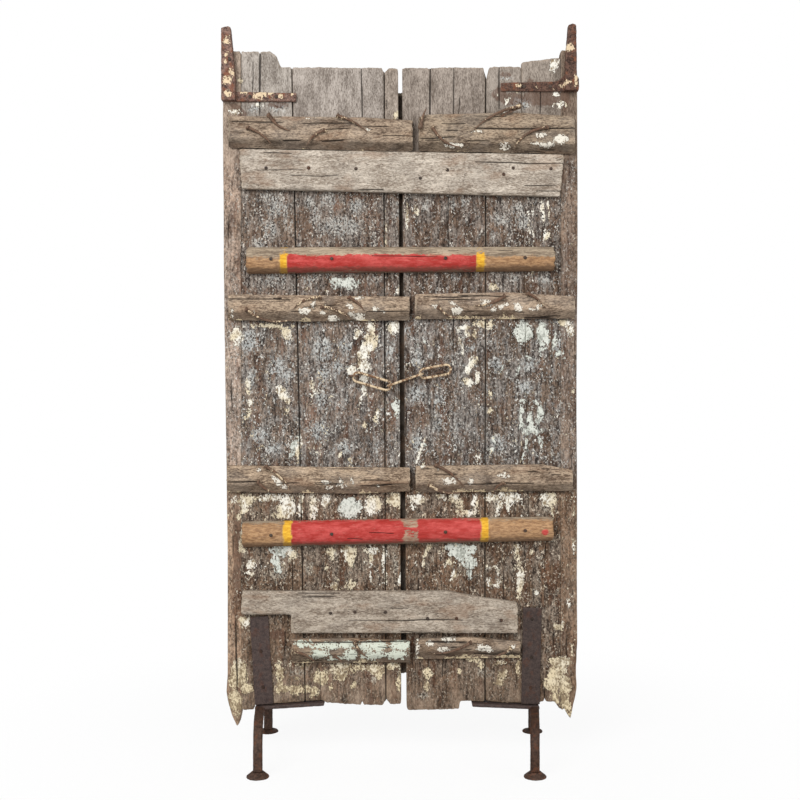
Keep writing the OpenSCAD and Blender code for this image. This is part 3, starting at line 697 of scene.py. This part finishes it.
def painted_wood(name, weathered, brown, coat):
    """Planks and stiles: bare and brown wood under the remains of several coats."""
    m = Material(name)
    bare, shade, blotch, pits = wood_base(m, Z, *weathered)
    mottle = m.grain((4.4, 4.4, 8), 3, 0.65, 81) * 0.5 + m.grain((8, 8, 60), 4, 0.65, 87) * 0.5
    stained = m.mix(m.step(shade * 0.45 + mottle * 0.55, 0.39, 0.61), *brown)
    red = m.step(m.grain((16, 16, 90), 3, 0.6, 89), 0.54, 0.66)
    stained = m.mix(red * 0.45, stained, tone(116, 80, 62))
    bareness = m.step(m.note("bare") + (blotch - 0.5) * 0.9, 0.2, 0.75)
    colour = m.tint(1, m.mix(bareness, stained, bare), m.piece("Color"))
    colour = m.mix(m.note("edge") * 0.4, colour, tone(170, 152, 134))
    colour, crumbs = old_coat(m, colour, 1 - bareness, mottle, coat)
    colour = m.tint(m.note("low"), colour, tone(244, 230, 214))
    colour = m.tint(m.note("upper"), colour, tone(244, 239, 235))
    rust = m.step(m.note("rust") + (mottle - 0.5) * 2.2, 0.35, 0.8)
    colour = m.mix(rust * 0.65, colour, m.mix(mottle, tone(50, 40, 36), tone(124, 92, 74)))
    colour, paint, clean = patches(m, colour)
    relief = shade * 1.8 + pits * -0.6 + paint * 0.9 + paint * clean * 0.3 + crumbs * 0.35
    colour, relief = cracked(m, colour, relief)
    return m.done(colour, m.mix(paint, even(0.92), even(0.75)), relief)


def bare_wood(name, along, dark, light, run, chipped=False):
    """Battens, boards and the strip: weathered wood, on battens with painted shade and grime along the
    lower edge, chips and a crust of paint.
    """
    m = Material(name)
    colour, shade, blotch, pits = wood_base(m, along, dark, light, run)
    colour = m.tint(1, colour, m.piece("Color"))
    grey = m.step(m.grain((90, 90, 50), 3, 0.6, 91), 0.45, 0.62)
    colour = m.mix(grey * 0.25, colour, tone(150, 141, 131))
    warm = m.step(m.grain((110, 110, 40), 4, 0.6, 95), 0.52, 0.66)
    colour = m.mix(warm * 0.35, colour, tone(138, 104, 78))
    specks = m.step(m.grain((6, 5, 4.4), 2, 0.65, 99), 0.58, 0.66)
    colour = m.mix(specks * 0.4, colour, tone(66, 54, 46))
    colour = m.mix(m.note("edge") * 0.45, colour, tone(196, 180, 158))
    relief = shade * 1.8 + pits * -0.6 + specks * -0.4
    if chipped:
        # darker toward the lower edge: partly painted shade of the underside, partly grime
        shade_and_grime = m.step(m.note("low") + (blotch - 0.5) * 0.8, 0.35, 0.8)
        colour = m.mix(shade_and_grime * 0.5, colour, tone(62, 51, 42))
        crust, crust_shadow = flakes(m, "crust", 10, 8, 5)
        chips, chip_shadow = flakes(m, "chips", 7, 7, 8)
        # painted shadow just outside the edges of the crust and the chips
        colour = m.mix(m.most(crust_shadow, chip_shadow) * 0.5, colour, tone(48, 40, 34))
        colour = m.mix(crust, colour, m.mix(m.step(pits, 0, 1), tone(200, 182, 150), tone(116, 98, 76)))
        white = m.mix(m.piece("Alpha"), tone(210, 214, 198), tone(228, 221, 207))
        colour = m.mix(chips, colour, m.mix(m.step(pits, 0.2, 1), white, tone(150, 142, 122)))
        relief = relief + m.most(crust, chips) * 0.9
    colour, relief = cracked(m, colour, relief)
    return m.done(colour, 0.9, relief)


def pole_paint(name):
    """Ochre ends, yellow bands and a red middle, rubbed away along the top and bottom."""
    m = Material(name)
    colour, shade, _, pits = wood_base(m, X, tone(112, 96, 80), tone(190, 172, 148), 20)
    sway = m.grain((60, 14, 14), 4, 0.6, 13) - 0.5
    rub = m.grain((11, 5, 5), 4, 0.7, 17) - 0.5
    mottle = m.step(m.grain((16, 5, 5), 4, 0.7, 19), 0.36, 0.64)
    ends = m.step(m.note("ends") + sway * 1.2 + rub * 1.4, 0.35, 0.75)
    colour = m.mix(ends * 0.85, colour, m.mix(mottle, tone(134, 96, 64), tone(188, 146, 104)))
    stain = m.note("red") * m.step(m.note("cover") + rub * 1.5, 0.1, 0.6)
    colour = m.mix(stain * 0.45, colour, tone(186, 104, 80))
    red = m.note("red") * m.step(m.note("cover") + sway * 1.6 + rub * 1.5, 0.4, 0.55)
    scuffed = m.step(m.grain((40, 14, 14), 5, 0.7, 23), 0.38, 0.66)
    colour = m.mix(red * 0.95, colour, m.mix(scuffed, tone(170, 42, 38), tone(202, 82, 78)))
    yellow = m.note("yellow") * m.step(rub + m.note("cover") * 0.6, 0, 0.16)
    colour = m.mix(yellow, colour, m.mix(mottle, tone(206, 146, 40), tone(236, 186, 62)))
    dirty = m.step(m.note("dirty") + rub * 1.2 + sway * 0.6, 0.35, 0.8)
    colour = m.mix(dirty * 0.6, colour, tone(92, 72, 58))
    scratch = m.step(m.grain((26, 1.6, 1.6), 3, 0.6, 29), 0.64, 0.7)
    colour = m.mix(scratch * 0.3, colour, tone(196, 176, 156))
    relief = shade * 1.2 + pits * -0.4 + red * 0.25 + yellow * 0.3
    colour, relief = cracked(m, colour, relief)
    return m.done(colour, m.mix(red, even(0.85), even(0.6)), relief)


def iron(name, dark, light, rust, share, flaked=False):
    """Old iron: dull skin, rust in blotches and, where asked for, flakes of cream paint."""
    m = Material(name)
    skin = m.grain((9, 9, 9), 5, 0.65)
    fine = m.grain((3, 3, 3), 3, 0.65, 5)
    colour = m.mix(m.step(skin * 0.5 + fine * 0.5, 0.38, 0.62), dark, light)
    colour = m.tint(1, colour, m.piece("Color"))
    rusty = m.step(m.grain((20, 20, 26), 4, 0.65, 9), 0.52, 0.66)
    colour = m.mix(rusty * share, colour, m.mix(fine, rust, tone(120, 74, 52)))
    colour = m.mix(m.note("edge") * 0.35, colour, light)
    relief = skin * 0.7 + fine * 0.35 + rusty * 0.25
    if flaked:
        cream, flake_shadow = flakes(m, "cream", 5, 8, 3)
        # painted shadow just outside the edges of the cream flakes
        colour = m.mix(flake_shadow * 0.4, colour, tone(48, 36, 32))
        colour = m.mix(cream, colour, m.mix(fine, tone(188, 158, 122), tone(234, 218, 188)))
        relief = relief + cream * 0.8
    return m.done(colour, m.mix(rusty, even(0.6), even(0.9)), relief, 0.15)


# What makes each material: a function and what it takes besides the name
LOOKS = {
    "plank_wood": (painted_wood, (tone(110, 100, 91), tone(182, 172, 162)),
                   (tone(42, 34, 28), tone(154, 134, 118)), 0.5),
    "stile_wood": (painted_wood, (tone(116, 101, 89), tone(198, 182, 166)),
                   (tone(92, 79, 69), tone(219, 199, 182)), 0.12),
    "batten_wood": (bare_wood, X, tone(82, 66, 54), tone(200, 180, 158), 9, True),
    "strip_wood": (bare_wood, Z, tone(52, 44, 39), tone(112, 98, 84), 16),
    "board_wood": (bare_wood, X, tone(122, 108, 95), tone(214, 203, 189), 9),
    "pole_paint": (pole_paint,),
    "flaked_iron": (iron, tone(52, 36, 30), tone(142, 112, 99), tone(146, 94, 70), 0.7, True),
    "dark_iron": (iron, tone(58, 48, 46), tone(86, 72, 67), tone(84, 62, 52), 0.3),
    "leg_iron": (iron, tone(46, 33, 26), tone(92, 70, 58), tone(112, 72, 50), 0.6),
    "nail_iron": (iron, tone(42, 32, 26), tone(124, 98, 80), tone(98, 68, 50), 0.5, True),
    "head_iron": (iron, tone(40, 34, 31), tone(86, 72, 62), tone(84, 60, 46), 0.4, True),
    "chain_iron": (iron, tone(88, 62, 46), tone(170, 132, 98), tone(118, 78, 54), 0.7, True),
}
MATERIALS = {name: maker(name, *rest) for name, (maker, *rest) in LOOKS.items()}


# ---------- the pieces

# Cracks that stand out: (percent across the board, from and to percent along it, width mm)
CRACKS = {
    "left_outer_plank": [(28, 90, 100, 2.5)],
    "left_middle_plank": [(73, 90, 100, 1.5)],
    "right_inner_plank": [(33, 90, 100, 2.6), (60, 90, 100, 1.0), (60, 55, 64, 1.0),
                          (55, 68, 80, 1.0), (48, 5, 16, 1.2)],
    "right_middle_plank": [(28, 93, 100, 1.6)],
    "right_outer_plank": [(20, 78, 90, 1.2)],
    "left_stile": [(75, 5, 16, 2.6)],
    "left_batten_1": [(27, 28, 40, 1.8), (27, 51, 63, 1.8), (80, 2, 30, 1.4)],
    "right_batten_1": [(59, 35, 100, 2.2), (35, 0, 25, 1.4)],
    "left_batten_2": [(80, 0, 35, 1.3), (35, 75, 100, 1.6)],
    "right_batten_2": [(85, 5, 60, 1.6), (70, 10, 40, 1.3)],
    "left_batten_3": [(43, 0, 17, 2.4), (30, 72, 98, 1.6)],
    "right_batten_3": [(30, 30, 75, 1.6)],
    "left_batten_4": [(88, 0, 100, 1.8)],
    "right_batten_4": [(80, 10, 50, 2.2), (20, 55, 100, 2.0)],
    "upper_cross_board": [(12, 16, 45, 1.4), (70, 72, 100, 1.2)],
    "lower_cross_board": [(30, 50, 80, 1.2)],
}
# How light or warm a piece is beside the others of its material
TONES = {
    "left_outer_plank": (1.05, 1.07, 1.08), "left_middle_plank": (1.04, 1.04, 1.05),
    "left_inner_plank": (0.95, 0.91, 0.87), "right_inner_plank": (0.9, 0.87, 0.85),
    "right_middle_plank": (0.84, 0.82, 0.8), "right_outer_plank": (0.82, 0.79, 0.76),
    "left_stile": (0.97, 0.93, 0.9), "right_stile": (0.55, 0.5, 0.46),
    "left_batten_1": (0.9, 0.87, 0.84), "right_batten_1": (0.82, 0.8, 0.76),
    "right_batten_4": (0.82, 0.77, 0.72), "left_batten_4": (0.8, 0.75, 0.69),
    "left_batten_2": (1.06, 1.02, 0.97), "right_batten_2": (1.03, 0.99, 0.95),
    "left_batten_3": (1.1, 1.05, 0.98), "right_batten_3": (0.98, 0.94, 0.89),
    "upper_cross_board": (1.0, 0.99, 0.97), "lower_cross_board": (0.86, 0.83, 0.79),
    "right_pivot_iron": (0.58, 0.52, 0.47), "right_front_leg": (0.8, 0.72, 0.66),
    "right_front_strap": (0.86, 0.86, 0.84),
    "left_strap_screws": (0.5, 0.47, 0.45), "right_strap_screws": (0.5, 0.47, 0.45),
}


def seed_of(node):
    return NODES.index(node) * 100


def board_cracks(node, s, along, across, count, reach=0.22):
    """A board's cracks that stand out, and fine ones at random, as crack_distance takes them."""
    return (placed(CRACKS.get(node, []), s.low, s.high, along, across)
            + seeded_cracks(s.low, s.high, along, across, count, reach, seed_of(node)))


# Boards that close up to their neighbour on the left (-1) or right (1)
SNUG = {"left_stile": 1, "right_stile": -1, "right_outer_plank": -1}


def make_plank(node):
    s = Surface(even_copy(node, 2 * MM, (1, 1, 3)))
    side = SNUG.get(node, 0)
    s.at[:, X] += 2.5 * MM * side * np.clip(s.out[:, X] * side, 0, 1)
    wear_wood(s, Z, X, board_cracks(node, s, Z, X, 6, 0.07), seed_of(node), 1.4 * MM, 2.5 * MM)
    paint_planks(s)
    kind = "stile_wood" if node.endswith("stile") else "plank_wood"
    finish_piece(s.piece, node, kind)


def edge_line(run, height, pick):
    """The highest or lowest line of a board at each point along it."""
    bin_width = 12 * MM
    bins = ((run - run.min()) / bin_width).astype(int)
    line = np.full(bins.max() + 1, -np.inf if pick is np.maximum else np.inf)
    pick.at(line, bins, height)
    middles = run.min() + (np.arange(len(line)) + 0.5) * bin_width
    return np.interp(run, middles, line)


def edges_of(s):
    """How far each point is below a lying board's upper edge, and above its lower edge."""
    run, height = s.at[:, X], s.at[:, Z]
    return edge_line(run, height, np.maximum) - height, height - edge_line(run, height, np.minimum)


def round_face(s, top, foot, broken):
    """Rounds the front face off toward its long edges and breaks pieces out of the lower one.

    top and foot are how far from that edge the rounding starts and how far back it goes.
    """
    from_top, from_foot = edges_of(s)
    vary = 1 + 0.3 * rough(s.at * (1, 0, 0), 80 * MM, 5, 2)
    above = np.clip(1 - from_top / (top[0] * vary), 0, 1)
    below = np.clip(1 - from_foot / (foot[0] * vary), 0, 1)
    gone = np.clip(rough(s.at * (1, 0, 0), 55 * MM, int(s.low[Z] * 1000), 3) - 0.05, 0, 1)
    back = above ** 2 * top[1] + below ** 1.6 * foot[1] + gone * ease(below, 0.3, 0.7) * broken
    s.at[:, Y] = np.maximum(s.at[:, Y], s.low[Y] + back)
    s.settle()


GREENISH = "left_batten_4" # the batten whose chips of paint are a greenish white


def make_batten(node):
    s = Surface(even_copy(node, 2 * MM, (2, 1, 1)))
    round_face(s, (24 * MM, 9 * MM), (30 * MM, 13 * MM), 18 * MM)
    wear_wood(s, X, Z, board_cracks(node, s, X, Z, 7), seed_of(node), 6 * MM, 3 * MM)
    from_foot = edges_of(s)[1]
    # how near the lower edge a point is; the batten material paints shade and grime there
    s.note("low", ease(from_foot, 38 * MM, 8 * MM))
    band = 20 * MM * rough(s.at * (1, 0, 0), 50 * MM, 9, 3) - from_foot - 1 * MM
    if node.endswith("batten_1"):
        band -= 9 * MM
    s.note("crust", band / MM)
    flat = s.low[[X, Z]], s.high[[X, Z]]
    s.note("chips", within(ragged(s.at, 4 * MM), CHIPS[node], *flat) / MM)
    finish_piece(s.piece, node, "batten_wood", int(node != GREENISH))


def make_board(node):
    s = Surface(even_copy(node, 2 * MM, (2, 1, 1)))
    round_face(s, (6 * MM, 3 * MM), (7 * MM, 3 * MM), 4 * MM)
    wear_wood(s, X, Z, board_cracks(node, s, X, Z, 8), seed_of(node), 3 * MM, 5 * MM)
    finish_piece(s.piece, node, "board_wood")


def make_strip(node):
    s = Surface(even_copy(node, 3 * MM, (1, 1, 3)))
    wear_wood(s, Z, X, board_cracks(node, s, Z, X, 4), seed_of(node))
    finish_piece(s.piece, node, "strip_wood")


# Where each pole's paint changes, as shares of its length, the lower and upper limits of its red
# as shares of its height, and where the red is rubbed off
POLES = {
    "upper_pole": ((0.111, 0.135, 0.745, 0.77), (0.04, 0.62), (-1, -1)),
    "lower_pole": ((0.135, 0.161, 0.765, 0.79), (0.08, 0.98), (0.52, 0.567)),
}
RED_DOT = (0.97, 0.4, 9 * MM) # on the lower pole: along, up and radius


def make_pole(node):
    s = Surface(even_copy(node, 1.8 * MM, (2, 1, 1)))
    wear_wood(s, X, Z, board_cracks(node, s, X, Z, 3), seed_of(node), 2 * MM, 4 * MM)
    from_top, from_foot = edges_of(s)
    up = from_foot / (from_top + from_foot)
    t = s.unit()[:, X] + 0.003 * lumps(s.at, 9 * MM, 3)
    (a, b, c, d), (low, high), (rubbed, rub_end) = POLES[node]
    edge = 0.0012

    def between(start, end):
        return ease(t, start - edge, start + edge) * ease(t, end + edge, end - edge)

    red = between(b, c)
    cover = ease(up, low - 0.12, low + 0.12) * ease(up, high + 0.16, high - 0.16)
    cover *= 1 - 0.6 * ease(t, rubbed - 0.02, rubbed + 0.01) * ease(t, rub_end + edge, rub_end - edge)
    if node == "lower_pole":
        length = s.high[X] - s.low[X]
        away = np.hypot((t - RED_DOT[0]) * length, (up - RED_DOT[1]) * (from_top + from_foot))
        dot = ease(away, RED_DOT[2], RED_DOT[2] - 2 * MM)
        red, cover = np.maximum(red, dot), np.maximum(cover, dot)
    s.note("red", red)
    s.note("yellow", between(a, b) + between(c, d))
    s.note("cover", cover)
    s.note("ends", (1 - between(a, d)) * ease(up, high + 0.15, high - 0.25))
    s.note("dirty", ease(up, 0.42, 0.0))
    finish_piece(s.piece, node, "pole_paint")


def wear_iron(s, seed, dent, pit):
    """Rounds and dents iron, and pits its skin."""
    edge = ease(np.einsum("ij,ij->i", s.at - s.mean(s.at, 8), s.out), 0.15 * MM, 0.9 * MM)
    s.at = s.mean(s.at, 2)
    s.push(-edge * np.clip(rough(s.at, 12 * MM, seed, 2) + 0.3, 0, 1) * dent * 1.5)
    s.push(rough(s.at, 22 * MM, seed + 3, 2) * dent - dent * 0.5
           + rough(s.at, 4 * MM, seed + 6, 2) * pit)
    s.note("edge", edge)
    s.settle()


def make_iron(node, material, cell, dent, pit, paint=-6, shape=None):
    """An iron piece. Its grid, dents and pits are in mm, and so is how deep in paint it is."""
    s = Surface(even_copy(node, cell * MM))
    if shape:
        shape(s)
    wear_iron(s, seed_of(node), dent * MM, pit * MM)
    if node in CHIPS:
        flat = s.low[[X, Z]], s.high[[X, Z]]
        crumbs = 4 * MM * rough(s.at, 24 * MM, 7, 2) - 6 * MM
        s.note("cream", np.maximum(within(ragged(s.at, 5 * MM), CHIPS[node], *flat), crumbs) / MM)
    else:
        s.note("cream", 7 * rough(s.at, 24 * MM, 5, 2) + paint)
    finish_piece(s.piece, node, material)


def raise_heads(s):
    """Lets screw heads stand a little out of their straps, front and back."""
    s.at[:, Y] *= 1.03


def solids(s):
    """Which separate solid each point belongs to, as the number of its first point."""
    label = np.arange(len(s.at))
    a, b = s.pairs.T
    while True:
        low = np.minimum(label[a], label[b])
        before = label.copy()
        np.minimum.at(label, a, low)
        np.minimum.at(label, b, low)
        label = label[label]
        if (label == before).all():
            return label


# Clinched nails that run on further than the rest: (batten, place along it, back, on), both in
# lengths of the bent end
LONG_NAILS = [
    ("right_batten_1", 0.53, 0.75, 0.2), ("left_batten_1", 0.26, 0.45, 0.1),
    ("left_batten_1", 0.62, 0.25, 0.1), ("left_batten_3", 0.24, 0.2, 0.2),
    ("right_batten_3", 0.15, 0.2, 0.2), ("right_batten_1", 0.04, 0.9, 0.6),
]
THICKER = 2.3 # times as thick as in the CAD
CLINCH_MIDDLE = 3.7 * MM # how far a bent end's middle stands out from its batten


def run_on(root):
    """How far the nail with this root is drawn out, back past its root and on past its tip."""
    for batten, share, back, on in LONG_NAILS:
        low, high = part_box(batten)
        place = np.array([low[X] + share * (high[X] - low[X]), (low[Z] + high[Z]) / 2])
        if (np.abs(root - place) < (20 * MM, (high[Z] - low[Z]) / 2)).all():
            return back, on
    return 0.08, 0.15


def forge_nails(s):
    """Makes clinched nails thick, long, curved and tapered, as hand-forged nails are."""
    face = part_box("left_batten_1")[0][Y]
    label = solids(s)
    for i, solid in enumerate(np.unique(label)):
        own = label == solid
        at = s.at[own]
        proud = face - at[:, Y]
        root = at[proud < 0][:, [X, Z]].mean(0)
        flat = at[:, [X, Z]] - root
        reach = np.hypot(*flat.T)
        length = reach.max()
        u = flat[reach.argmax()] / length
        v = np.array([-u[1], u[0]])
        back, on = run_on(root)
        front = ease(proud, 0, 1.5 * MM)
        t = np.clip(flat @ u / length, 0, 1)
        gain = THICKER * (1 + 0.5 * t) - 1
        run = flat @ u * (1 + (back + on) * front) - back * length * front
        bend = (0.16 if i % 2 else -0.1) * length * ((t * 2 - 1) ** 2 - 1)
        side = flat @ v * (1 + gain * front) + bend * front
        s.at[own, X] = root[0] + run * u[0] + side * v[0]
        s.at[own, Z] = root[1] + run * u[1] + side * v[1]
        s.at[own, Y] -= front * ((proud - CLINCH_MIDDLE) * gain * 0.8 + 1.5 * MM * (1 - 2 * t))
    s.settle()


# What makes the nodes whose names end so, and what it takes besides the node
MAKERS = [
    (("_plank", "_stile"), make_plank),
    (("_batten_1", "_batten_2", "_batten_3", "_batten_4"), make_batten),
    ("_cross_board", make_board),
    ("meeting_strip", make_strip),
    ("_pole", make_pole),
    ("_pivot_iron", make_iron, "flaked_iron", 1.6, 0.9, 0.5),
    (("_strap", "_shelf_bar"), make_iron, "dark_iron", 1.4, 0.3, 0.15),
    ("_leg", make_iron, "leg_iron", 1.4, 0.5, 0.3),
    ("_foot_pads", make_iron, "leg_iron", 1.3, 0.4, 0.25),
    ("_link", make_iron, "chain_iron", 0.9, 0.3, 0.2, 1.5),
    ("_staple", make_iron, "nail_iron", 0.9, 0.25, 0.15),
    ("_screws", make_iron, "head_iron", 0.7, 0.1, 0.1, -20, raise_heads),
    ("_batten_nails", make_iron, "nail_iron", 1.1, 0.4, 0.3, -3, forge_nails),
    ("_nails", make_iron, "head_iron", 1.1, 0.3, 0.2, -9),
]


def make_pieces():
    for node in NODES:
        for endings, maker, *rest in MAKERS:
            if node.endswith(endings):
                maker(node, *rest)
                break
        else:
            raise ValueError("no maker for " + node)


# ---------- studio

def make_floor(height, centre):
    """A pale floor that shows faintly near the doors and not at all further out."""
    mesh = bpy.data.meshes.new("floor")
    reach = 3.5
    mesh.from_pydata([(centre[0] + a * reach, centre[1] + b * reach, height)
                      for a, b in ((-1, -1), (1, -1), (1, 1), (-1, 1))], [], [(0, 1, 2, 3)])
    floor = add_object("floor", mesh)
    m = Material("pale_floor")
    m.fill(m.surface, {"Base Color": tone(246, 246, 245), "Roughness": 0.9, "Specular IOR Level": 0.1})
    away = m.node("VectorMath", {0: m.place}, "Value", operation="LENGTH")
    share = m.step(away, 0.4, 1.6) * 0.1 + 0.9
    pale, clear = Value(m, m.surface.outputs[0]), m.node("BsdfTransparent", {})
    faint = m.node("MixShader", {0: share, 1: pale, 2: clear})
    m.put(m.nodes["Material Output"].inputs["Surface"], faint)
    mesh.materials.append(m.material)


def make_world(light):
    """White where the camera sees it, and a soft even light on the object."""
    world = bpy.data.worlds.new("white_studio")
    tree = Tree(world)
    back = tree.nodes["Background"]
    tree.fill(back, {"Color": even(1), "Strength": light})
    seen = tree.node("Background", {"Color": even(1), "Strength": 1})
    direct = tree.node("LightPath", {}, "Is Camera Ray")
    pick = tree.node("MixShader", {0: direct, 1: Value(tree, back.outputs[0]), 2: seen})
    tree.put(tree.nodes["World Output"].inputs["Surface"], pick)
    bpy.context.scene.world = world


def make_light(name, place, target, size, watts):
    """A round lamp that points at its target."""
    light = bpy.data.lights.new(name, "AREA")
    light.shape = "DISK"
    light.size = size
    light.energy = watts
    lamp = add_object(name, light)
    lamp.location = place
    lamp.rotation_euler = (Vector(target) - Vector(place)).to_track_quat("-Z", "Y").to_euler()


# The camera's distance from the doors' face and its height, as shares of the object's height
DISTANCE, EYE_LEVEL = 1.593, 0.4866
SENSOR_MM, LENS_MM = 36, 52.25


def make_camera(low, high):
    """Level, square to the doors' face, a little below their middle."""
    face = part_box("left_middle_plank")[0][Y]
    height = high[Z] - low[Z]
    camera = add_object("camera", bpy.data.cameras.new("camera"))
    camera.location = (0, face - DISTANCE * height, low[Z] + EYE_LEVEL * height)
    camera.rotation_euler = (math.pi / 2, 0, 0)
    camera.data.sensor_width = SENSOR_MM
    camera.data.lens = LENS_MM
    bpy.context.scene.camera = camera


def make_studio():
    low, high = cad_box
    middle = (low + high) / 2
    make_floor(low[Z], middle)
    make_world(light=0.5)
    tall = high[Z] - low[Z]
    lamp_size = 1.8 * tall
    for name, way, watts in (("key", (-1.1, -2.2, 1.3), 222), ("fill", (1.8, -1.7, 0.4), 78)):
        make_light(name, middle + Vector(way) * tall, middle, lamp_size, watts)
    bpy.context.scene.view_settings.view_transform = "Standard"
    make_camera(low, high)


make_pieces()
make_studio()
